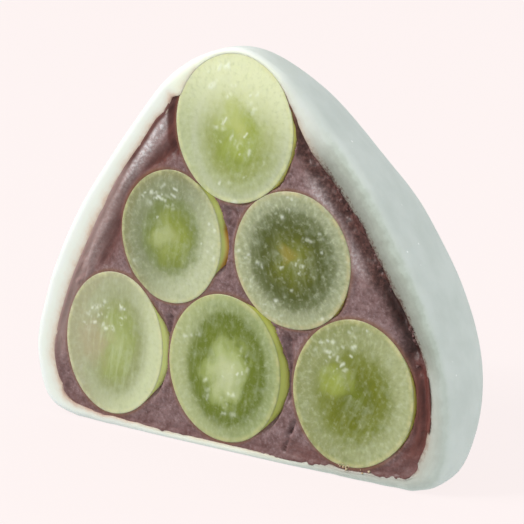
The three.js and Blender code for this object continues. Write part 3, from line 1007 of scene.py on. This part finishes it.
def grape_material(name, colours):
    look = Look("flesh_of_" + name)
    disc = look.stored("disc", vector=True)
    rim = look.stored("rim")
    glint = look.stored("glint")
    wander = look.noise(disc, 0.34, 4.0, 0.6)
    flesh = grape_flesh(look, colours, disc, wander)

    # Soft haze, upright streaks near the middle, faint fibres that run out to the skin, and beads.
    grain = colours["grain"]
    haze = look.noise(disc, 0.22, 3.0, 0.6)
    streaks = look.noise(look.vector("MULTIPLY", disc, (9.0, 1.8, 1.0)), 1.0, 2.0, 0.5)
    streaks = look.step(streaks, 0.48, 0.7, 0.0, colours["streaks"])
    fibres = look.noise(look.stored("spokes", vector=True), 0.05, 2.0, 0.5)
    beads = look.noise(disc, 0.085, 2.0, 0.55)
    inner, outer = look.step(rim, 0.85, 0.6), look.step(rim, 0.5, 0.85)
    for share, colour in (
        (look.step(haze, 0.46, 0.74, 0.0, 0.2), (200, 206, 184)),
        (look.times(streaks, inner), (208, 214, 182)),
        (look.times(look.step(fibres, 0.5, 0.75, 0.0, 0.17 * grain), outer), (222, 226, 198)),
        (look.times(look.step(fibres, 0.5, 0.25, 0.0, 0.16 * grain), outer), (104, 118, 76)),
        (look.step(beads, 0.5, 0.8, 0.0, 0.2 * grain), (222, 227, 200)),
        (look.step(beads, 0.5, 0.2, 0.0, 0.2 * grain), (88, 102, 52)),
    ):
        flesh = look.mix(share, flesh, wet(*colour))
    # Painted highlight: the wet strokes are painted near white in the flesh's colour.
    flesh = look.mix(look.times(glint, 0.58), flesh, rgb(240, 243, 230))

    # The skin: a thin line round the cut, then the clear green wall, amber further in.
    patchy = look.step(haze, 0.38, 0.62, 0.1, 0.62)
    line = look.times(look.step(rim, 0.91, 0.985), patchy)
    colour = look.mix(line, flesh, rgb(*colours["rim"]))
    # The wall's skin colour is painted paler than the skin itself, a painted glow for light shining
    # through it.
    colour = look.mix(look.step(rim, 1.02, 1.3), colour, rgb(*colours["skin"]))
    amber_angle, amber_share = colours["amber"]
    amber = look.step(turned(look, disc, amber_angle), 0.93, 1.02, 0.0, amber_share)
    amber = look.times(amber, look.step(rim, 1.3, 1.9))
    colour = look.mix(amber, colour, rgb(*colours["deep"]))
    colour = look.mix(look.step(rim, 2.6, 4.2, 0.0, 0.85), colour, rgb(*colours["deep"]))
    look.set(
        Base_Color=colour,
        Roughness=look.step(glint, 0.0, 0.8, 0.42, 0.2),
        Subsurface_Weight=0.5,
        Subsurface_Radius=(0.9, 1.0, 0.45),
        Subsurface_Scale=0.0012,
        IOR=1.36,
        Specular_IOR_Level=0.35,
        Coat_Weight=0.3,
        Coat_Roughness=0.2,
        Normal=look.bump(fibres, 0.03, 0.35, look.bump(beads, 0.06, 0.4)),
    )
    return look.material


# ---- Assembly ----


def finish_piece(piece, material, node):
    """Gives a piece its material, hangs it on the root body, and hides the model's part that it stands
    for.
    """
    piece.data.materials.append(material)
    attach(piece, "root")
    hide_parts(node)


def make_object():
    finish_piece(make_dough(), dough_material(), "dough_skin")
    finish_piece(make_paste(), paste_material(), "bean_paste")
    for i, (name, colours) in enumerate(GRAPES.items()):
        finish_piece(make_grape(name, 100 + 10 * i), grape_material(name, colours), name)


# ---- Stage, light and camera ----

BACKGROUND = rgb(254, 244, 243)
FLOOR_GLOW = rgb(243, 232, 231)
FLOOR_SHADED = rgb(84, 84, 84)  # the little the floor takes of light and shadow


def emitting(name, colour, diffuse):
    look = Look(name)
    look.set(Base_Color=diffuse, Roughness=1.0, Specular_IOR_Level=0.0)
    look.set(Emission_Color=colour, Emission_Strength=1.0)
    return look.material


def make_stage():
    """A floor and a backdrop that only the camera sees, so that they light nothing."""
    bpy.ops.mesh.primitive_plane_add(size=8.0)
    floor = bpy.context.object
    floor.name = "floor"
    floor.data.materials.append(emitting("pale_floor", FLOOR_GLOW, FLOOR_SHADED))
    bpy.ops.mesh.primitive_uv_sphere_add(radius=4.0, segments=64, ring_count=32)
    backdrop = bpy.context.object
    backdrop.name = "backdrop"
    backdrop.data.materials.append(emitting("pale_backdrop", BACKGROUND, (0.0, 0.0, 0.0, 1.0)))
    for thing in (floor, backdrop):
        for ray in ("diffuse", "glossy", "transmission", "shadow"):
            setattr(thing, "visible_" + ray, False)


def aim(thing, place, target):
    """Puts a light or the camera in its place, facing the target."""
    thing.location = place
    thing.rotation_euler = (Vector(target) - Vector(place)).to_track_quat("-Z", "Y").to_euler()


def make_light(name, kind, place, energy, colour=(1.0, 1.0, 1.0), **settings):
    light = bpy.data.lights.new(name, kind)
    light.energy = energy
    light.color = colour
    for key, value in settings.items():
        setattr(light, key, value)
    aim(add_object(name, light), place, LIT_PLACE)


def make_lights():
    world = bpy.data.worlds.new("soft_room")
    world.use_nodes = True
    light, strength = world.node_tree.nodes["Background"].inputs[:2]
    light.default_value = (0.94, 1.0, 0.975, 1.0)
    strength.default_value = 0.72
    bpy.context.scene.world = world
    make_light("window", "SUN", (-0.65, -0.6, 0.65), 1.6, (1.0, 0.94, 0.91), angle=math.radians(35))
    make_light("bounce", "AREA", (0.62, -0.1, 0.3), 0.42, (0.95, 1.0, 0.98), size=0.6)
    make_light("glint", "AREA", (-0.35, -0.45, 0.42), 1.2, size=0.08)


def make_camera():
    camera = add_object("camera", bpy.data.cameras.new("camera"))
    bpy.context.scene.camera = camera
    camera.data.lens = LENS
    azimuth, elevation = math.radians(VIEW_AZIMUTH), math.radians(VIEW_ELEVATION)
    target = Vector((VIEW_TARGET[0], CUT_Y * MM, VIEW_TARGET[1]))
    back = Vector((math.sin(azimuth), -math.cos(azimuth), math.tan(elevation))).normalized()
    aim(camera, target + back * VIEW_DISTANCE, target)


make_object()
make_stage()
make_lights()
make_camera()
bpy.context.scene.view_settings.view_transform = "Standard"
